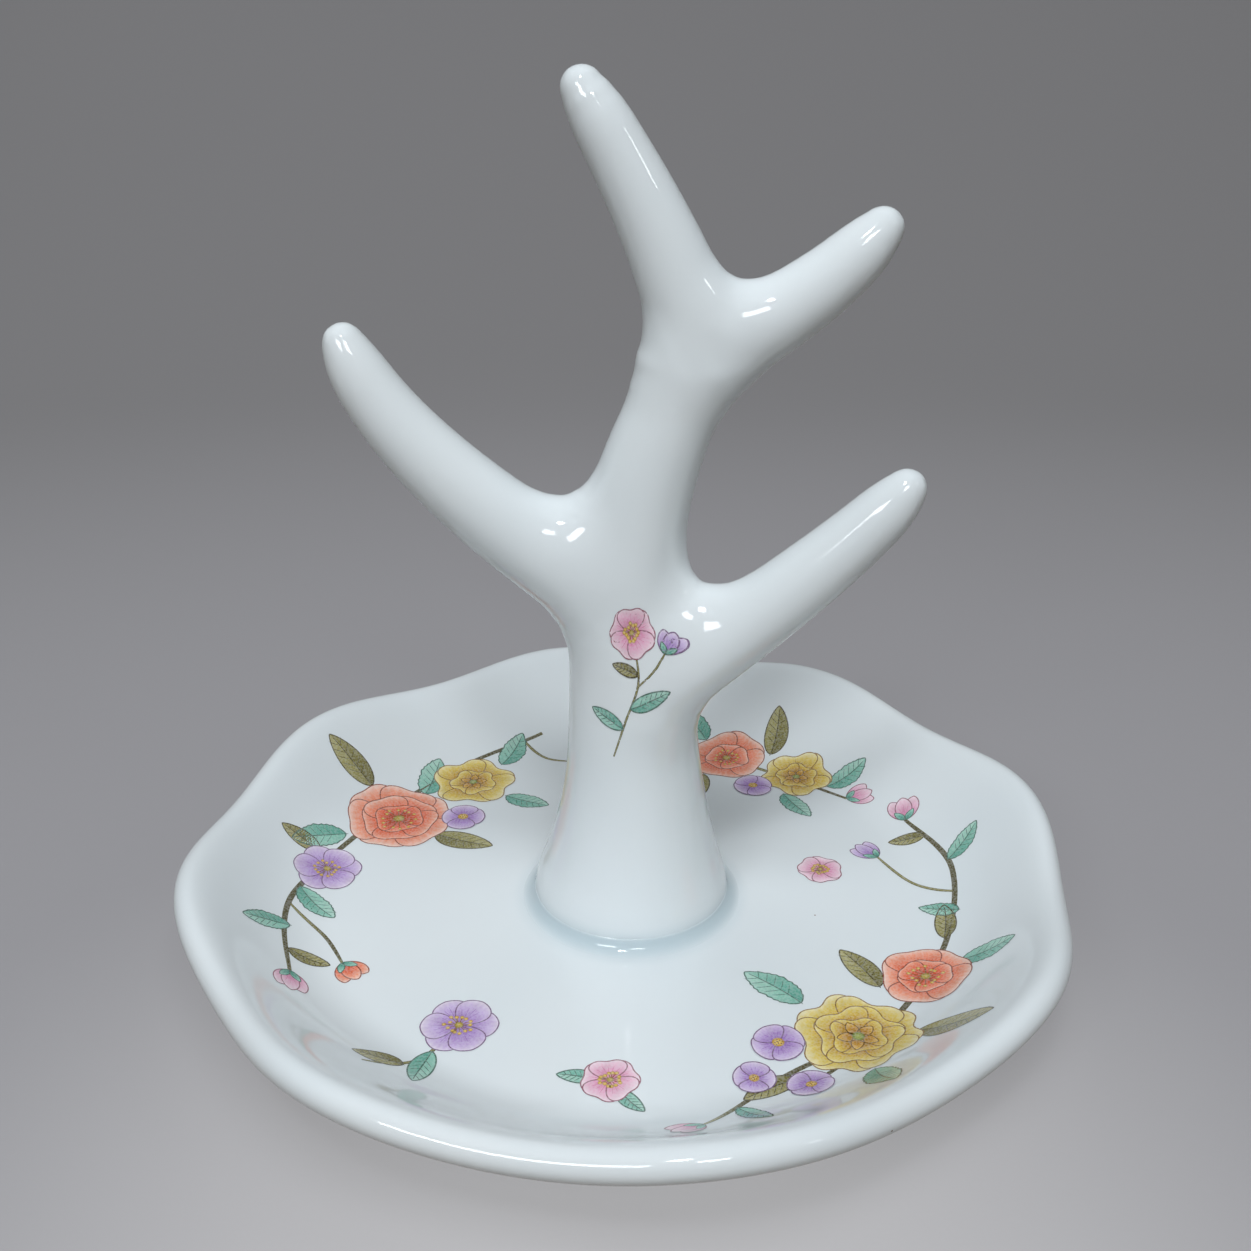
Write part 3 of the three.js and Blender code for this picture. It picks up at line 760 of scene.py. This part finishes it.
def onDish(flat):
    run = np.maximum(np.hypot(flat[:, 0], flat[:, 1]), 1e-6)
    reach = np.interp(run, innerRun, innerLine[:, 0])
    height = np.interp(run, innerRun, innerLine[:, 1])
    return scallop(np.stack([flat[:, 0] / run * reach, flat[:, 1] / run * reach, height], axis=1))


def onTrunk(flat):
    # round the trunk's front from its middle line, and up it
    middle = tubes[0][0]
    turn = flat[:, 0] / printing["trunkRadius"]
    aim = np.stack([np.sin(turn), -np.cos(turn), np.zeros(len(turn))], axis=1)
    foot = np.stack([np.interp(flat[:, 1], middle[:, 2], middle[:, 0]), 0 * turn, flat[:, 1]],
                    axis=1)
    reach = np.full(len(turn), 20.0)
    for _ in range(14):
        reach -= skinField(foot + aim * reach[:, None])
    return foot + aim * reach[:, None] + treeStand


def layPrint(name, sheet, place, lift):
    flat = np.concatenate(sheet["points"])
    here = place(flat)
    across = np.cross(place(flat + [0.02, 0]) - here, place(flat + [0, 0.02]) - here)
    across /= np.linalg.norm(across, axis=1)[:, None]
    raised = lift + printing["layer"] * np.concatenate(sheet["levels"])
    piece = makePiece(name, here + across * raised[:, None], np.concatenate(sheet["faces"]),
                      printEnamel)
    ink = piece.data.color_attributes.new("ink", "FLOAT_COLOR", "POINT")
    colours = np.concatenate(sheet["colours"])
    opaque = np.concatenate([colours, np.ones((len(colours), 1))], axis=1)
    ink.data.foreach_set("color", opaque.ravel())
    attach(piece, "root")
    print(name, "laid", len(piece.data.polygons))


# Layout of the prints, as the saucer is seen from above: x to the right and y to the back

double = ((6, 1.0, 1.0), (5, 0.72, 1.0), (4, 0.45, 1.0))
single = ((5, 1.0, 1.0), (5, 0.58, 1.0))
fivePetals = ((5, 1.0, 1.0),)
fourPetals = ((4, 1.0, 0.85),)
coralShape = {"fullest": 1.7, "notch": 0.06}
yellowShape = {"fullest": 1.9, "notch": 0.16}
lilacShape = {"fullest": 1.4, "pointed": 0.25}
pinkShape = {"fullest": 1.5, "notch": 0.1}


def addLeaves(sheet, leaves):
    for stand, ink, length, width in leaves:
        addLeaf(sheet, stand, ink, 2, length, width, 0.14, 0.16 if ink == "teal" else 0)


# the spray on the left
leftSpray = newSheet()
addStem(leftSpray, [(-14, 42), (-26, 33), (-38, 16), (-45, -3), (-42, -20)], 0.7, 0)
addStem(leftSpray, [(-45.3, -5), (-39.5, -10), (-36, -15.5)], 0.4, 0)
addStem(leftSpray, [(-17, 40.3), (-13, 36), (-9.5, 35)], 0.4, 0)
addLeaves(leftSpray, [
    ((-39, 24, 140), "olive", 9.5, 4.2), ((-31, 25, 75), "teal", 8.5, 4.4),
    ((-41, 13, 205), "teal", 9, 4.2), ((-28, 14, -28), "olive", 9, 4),
    ((-20, 34, 62), "teal", 8, 3.8), ((-18.5, 24.5, -30), "teal", 7, 3.4),
    ((-44, 8, 160), "olive", 7, 3.2), ((-44.5, -1, -50), "teal", 7.5, 3.4),
    ((-43.8, -10, 200), "teal", 6.5, 3), ((-42.9, -15, -20), "olive", 5.5, 2.5)])
addBlossom(leftSpray, -34, 18, 15.5, "coral", 6, 20, double, **coralShape)
addBlossom(leftSpray, -24, 28.5, 12.5, "yellow", 12, 50, single, "star", **yellowShape)
addBlossom(leftSpray, -42, 4.5, 10, "lilac", 12, 10, ((6, 1.0, 0.85),), **lilacShape)
addBlossom(leftSpray, -24.5, 18.5, 6.5, "lilac", 30, 0, ((4, 1.0, 0.8),), "seeds", **lilacShape)
addBud(leftSpray, (-42, -20, -80), 4.6, "pink", 4)
addBud(leftSpray, (-36, -15.5, -50), 4, "coral", 4)
addBud(leftSpray, (-9.5, 35, 0), 4, "pink", 4)

# on the right
rightSpray = newSheet()
addStem(rightSpray, [(20, -38), (31, -27), (41, -12), (45, 3), (41, 16)], 0.7, 0)
addStem(rightSpray, [(44.6, -2), (39, 2), (35.5, 8)], 0.4, 0)
addStem(rightSpray, [(27, -30), (17, -36), (8, -45)], 0.55, 0)
addLeaves(rightSpray, [
    ((21, -23, 130), "teal", 8.5, 4.2), ((34, -30, -38), "olive", 9.5, 4.3),
    ((28, -37, -85), "teal", 8.5, 4.2), ((31, -20, 110), "olive", 8, 3.6),
    ((42, -17, -20), "teal", 7.5, 3.6), ((41, -11, 70), "olive", 7, 3),
    ((19, -36, 200), "olive", 7, 3.1), ((44.9, 5, 30), "teal", 6.5, 3),
    ((44.2, -6, 150), "teal", 5.5, 2.6), ((12, -41, -60), "teal", 5.5, 2.5),
    ((42.8, 11.5, 170), "olive", 5, 2.3)])
addBlossom(rightSpray, 27, -29, 15, "yellow", 6, 5, double, "star", **yellowShape)
addBlossom(rightSpray, 37, -18.5, 11.5, "coral", 12, 30, single, **coralShape)
for x, y, size in ((17.5, -30, 6.2), (20.5, -37.5, 5.6), (14.2, -35.8, 5)):
    addBlossom(rightSpray, x, y, size, "lilac", 30, 12 * x, fourPetals, "seeds", **lilacShape)
addBud(rightSpray, (41, 16, 82), 4.6, "pink", 4)
addBud(rightSpray, (35.5, 8, 130), 4, "lilac", 4)
addBud(rightSpray, (8, -45, 215), 4.2, "pink", 4)

# behind the tree
backSpray = newSheet()
addStem(backSpray, [(6, 40), (17, 35), (27, 28.5), (33.5, 23.5)], 0.6, 0)
addLeaves(backSpray, [
    ((13, 41, 110), "teal", 8, 3.8), ((23, 36, 65), "olive", 8.5, 3.8),
    ((12, 31, -110), "olive", 7.5, 3.4), ((31, 27, 20), "teal", 8, 3.6),
    ((24, 25, -70), "teal", 7, 3.3), ((8, 40, 170), "teal", 6, 2.8)])
addBlossom(backSpray, 16, 36, 12, "coral", 6, 40, single, **coralShape)
addBlossom(backSpray, 26.5, 30, 11, "yellow", 12, 15, single, "star", **yellowShape)
addBlossom(backSpray, 19.5, 27.5, 6, "lilac", 30, 30, fourPetals, "seeds", **lilacShape)
addBud(backSpray, (33.5, 23.5, 10), 4.2, "pink", 4)

# single blossoms on the floor
singles = newSheet()
addStem(singles, [(-20, -27), (-24, -33), (-30, -36)], 0.4, 0)
addLeaf(singles, (-22.6, -31.5, 250), "teal", 2, 6.5, 2.9)
addLeaf(singles, (-25.5, -34.4, 165), "olive", 2, 6, 2.6)
addBlossom(singles, -20, -27, 9.5, "lilac", 6, 0, ((6, 1.0, 0.85),), **lilacShape)
addLeaf(singles, (-3.5, -36, 160), "teal", 2, 4.6, 2.1)
addLeaf(singles, (-1, -37.5, -60), "teal", 2, 4.4, 2)
addBlossom(singles, -2, -36, 6.8, "pink", 6, 25, fivePetals, **pinkShape)
addBlossom(singles, 27, 5, 6.2, "pink", 6, 70, fivePetals, **pinkShape)

# and one twig up the trunk
twig = newSheet()
addStem(twig, [(-2.6, 25), (-0.8, 30), (1.2, 35.5), (0.6, 41)], 0.16, 0)
addStem(twig, [(0.9, 34.6), (3, 36.6), (4.6, 39)], 0.12, 0)
addLeaf(twig, (-1.2, 29, 150), "teal", 2, 5, 2, 0.1)
addLeaf(twig, (0, 31.8, 20), "teal", 2, 5.2, 2.1, 0.12)
addLeaf(twig, (1.1, 36.2, 155), "olive", 2, 3.6, 1.5, 0.1)
addBlossom(twig, 0.5, 41.5, 6.4, "pink", 6, 18, fivePetals, **pinkShape)
addBud(twig, (4.6, 39, 60), 2.8, "lilac", 4)

layPrint("print_left_spray", leftSpray, onDish, printing["dishLift"])
layPrint("print_right_spray", rightSpray, onDish, printing["dishLift"])
layPrint("print_back_spray", backSpray, onDish, printing["dishLift"])
layPrint("print_single_blossoms", singles, onDish, printing["dishLift"])
layPrint("print_trunk_twig", twig, onTrunk, printing["trunkLift"])


# Stage: a seamless sweep of grey paper, with a painted pool of light on it that glows lightest
# round the saucer's front

stage = {
    "width": 1500, "front": -450, "bend": 260, "bendRadius": 420, "top": 900,
    "columns": 9,
    # the painted pool of light: its tones from round the saucer's front outwards, and where they
    # fade
    "near": "#BEBEC0", "middle": "#858589", "far": "#676768",
    "brightest": (0, -60, 0), "nearFade": (15, 105), "farFade": (100, 400),
    "paper": "#BDBCC0",     # as it is lit
    "bounced": "#766A5E",   # the tone in which it lights the object from below
    "paintedGlowShare": 0.68,     # of what the camera sees of the paper that is the painted glow, not lit paper
    "tooth": 0.6, "toothHeight": 0.02,
}


def shownRays(material):
    # 1 where the camera sees the backdrop, straight or in the glaze, and 0 where it lights
    # the object
    rays = addNode(material, "ShaderNodeLightPath")
    seen = addNode(material, "ShaderNodeMath", {
        0: rays.outputs["Is Camera Ray"], 1: rays.outputs["Is Glossy Ray"]}, operation="MAXIMUM")
    shown = addNode(material, "ShaderNodeMath", {
        0: seen.outputs["Value"], 1: rays.outputs["Is Transmission Ray"]}, operation="MAXIMUM")
    return shown.outputs["Value"]


def sweepPaper():
    # Matt coated paper on a roll: a soft, even grey with a fine tooth that kills reflections.
    # Its backdrop tone, a painted pool of light brightest round the saucer's front, is shown to the
    # camera only as a glow, so that it throws no light on the object; it lightens the saucer's
    # shadow on the paper
    made = newMaterial("sweep_paper_with_painted_glow")
    place = addNode(made, "ShaderNodeTexCoord").outputs["Object"]
    centred = addNode(made, "ShaderNodeVectorMath", {
        0: place, 1: tuple(c * mm for c in stage["brightest"])}, operation="SUBTRACT")
    run = addNode(made, "ShaderNodeVectorMath", {0: centred.outputs["Vector"]}, operation="LENGTH")
    nearer = addNode(made, "ShaderNodeMapRange", {
        "Value": run.outputs["Value"], "From Min": stage["nearFade"][0] * mm,
        "From Max": stage["nearFade"][1] * mm}, interpolation_type="SMOOTHSTEP")
    further = addNode(made, "ShaderNodeMapRange", {
        "Value": run.outputs["Value"], "From Min": stage["farFade"][0] * mm,
        "From Max": stage["farFade"][1] * mm}, interpolation_type="SMOOTHSTEP")
    front = addNode(made, "ShaderNodeMix", {
        "Factor": nearer.outputs["Result"], 6: linear(stage["near"]), 7: linear(stage["middle"])},
        data_type="RGBA")
    back = addNode(made, "ShaderNodeMix", {
        "Factor": further.outputs["Result"], 6: front.outputs[2], 7: linear(stage["far"])},
        data_type="RGBA")
    shown = shownRays(made)
    share = addNode(made, "ShaderNodeMath", {0: shown, 1: stage["paintedGlowShare"]},
                    operation="MULTIPLY")
    tone = addNode(made, "ShaderNodeMix", {
        "Factor": shown, 6: linear(stage["bounced"]), 7: linear(stage["paper"])}, data_type="RGBA")
    tooth = addNode(made, "ShaderNodeTexNoise", {
        "Vector": place, "Scale": 1 / (stage["tooth"] * mm), "Detail": 3})
    raised = addNode(made, "ShaderNodeBump", {
        "Height": tooth.outputs["Fac"], "Distance": stage["toothHeight"] * mm})
    paper = addNode(made, "ShaderNodeBsdfPrincipled", {
        "Base Color": tone.outputs[2], "Roughness": 0.9, "IOR": 1.45,
        "Normal": raised.outputs["Normal"]})
    # the painted pool of light, a glow seen only by the camera and in the glaze
    paintedGlow = addNode(made, "ShaderNodeEmission", {"Color": back.outputs[2]})
    surface = addNode(made, "ShaderNodeMixShader", {
        0: share.outputs["Value"], 1: paper.outputs["BSDF"], 2: paintedGlow.outputs["Emission"]})
    addNode(made, "ShaderNodeOutputMaterial", {"Surface": surface.outputs[0]})
    return made


sweepArc = arc(stage["bend"], stage["bendRadius"], stage["bendRadius"], 1.5, 2, 32)
sweepLine = np.concatenate([[[stage["front"], 0]], sweepArc, [[sweepArc[-1][0], stage["top"]]]])
columns = stage["columns"]
across = np.linspace(-stage["width"] / 2, stage["width"] / 2, columns)
sweepPoints = [(x, y, z) for y, z in sweepLine for x in across]
sweepStarts = [i * columns + j for i in range(len(sweepLine) - 1) for j in range(columns - 1)]
sweepFaces = [(k, k + 1, k + columns + 1, k + columns) for k in sweepStarts]
makePiece("sweep", sweepPoints, sweepFaces, sweepPaper())
print("stage made")


# Lamps stand round the tree at the directions that its highlights give

lampAim = Vector((0, 0, 45)) * mm
lampColour = (0.97, 1, 1.03)
# azimuth from the front towards +X, elevation, distance, width, height, radiance, and whether
# the glaze mirrors it
lamps = {
    "overhead_diffuser": (4, 65, 700, 440, 320, 5.55, False),
    "back_left_diffuser": (-140, 45, 700, 400, 400, 1.45, False),
    "back_right_diffuser": (140, 45, 700, 400, 400, 0.7, False),
    "left_softbox": (-27, 31, 700, 210, 110, 12, True),
    "right_softbox": (8, 40, 700, 150, 110, 12, True),
    "high_strip": (-12, 56, 700, 80, 90, 36, True),
    "side_spot": (60, 31, 700, 50, 50, 10, True),
}
for name, (azimuth, elevation, distance, width, height, radiance, mirrored) in lamps.items():
    light = bpy.data.lights.new(name, "AREA")
    light.shape = "RECTANGLE"
    light.size, light.size_y = width * mm, height * mm
    light.energy = radiance * math.pi * light.size * light.size_y
    light.color = lampColour
    lamp = bpy.data.objects.new(name, light)
    turn, lift = math.radians(azimuth), math.radians(elevation)
    towards = Vector((math.sin(turn) * math.cos(lift), -math.cos(turn) * math.cos(lift),
                      math.sin(lift)))
    lamp.location = lampAim + distance * mm * towards
    lamp.rotation_euler = (lampAim - lamp.location).to_track_quat("-Z", "Y").to_euler()
    lamp.visible_glossy = mirrored
    bpy.context.scene.collection.objects.link(lamp)
print("lamps placed", len(lamps))

# The room: a dim warm fill, shown as the backdrop's grey past the edge of the paper
roomLook = {"fill": "#2E2A26", "shown": "#5E5E60"}
world = bpy.data.worlds.new("studio_room")
world.use_nodes = True
world.node_tree.nodes.clear()
shown = shownRays(world)
fill = addNode(world, "ShaderNodeBackground", {"Color": linear(roomLook["fill"])})
room = addNode(world, "ShaderNodeBackground", {"Color": linear(roomLook["shown"])})
around = addNode(world, "ShaderNodeMixShader", {
    0: shown, 1: fill.outputs["Background"], 2: room.outputs["Background"]})
addNode(world, "ShaderNodeOutputWorld", {"Surface": around.outputs["Shader"]})
bpy.context.scene.world = world


# Camera at the photograph's angle

cameraStand = {"sensor": 36, "lens": 38.85, "nearest": 10,
               "place": (-0.27, -153.10, 115.35), "tilt": 65.62}   # tilt up from straight down
view = bpy.data.cameras.new("camera")
view.sensor_width = cameraStand["sensor"]
view.lens = cameraStand["lens"]
view.clip_start = cameraStand["nearest"] * mm
camera = bpy.data.objects.new("camera", view)
camera.location = Vector(cameraStand["place"]) * mm
camera.rotation_euler = (math.radians(cameraStand["tilt"]), 0, 0)
bpy.context.scene.collection.objects.link(camera)
bpy.context.scene.camera = camera
bpy.context.scene.view_settings.view_transform = "Standard"
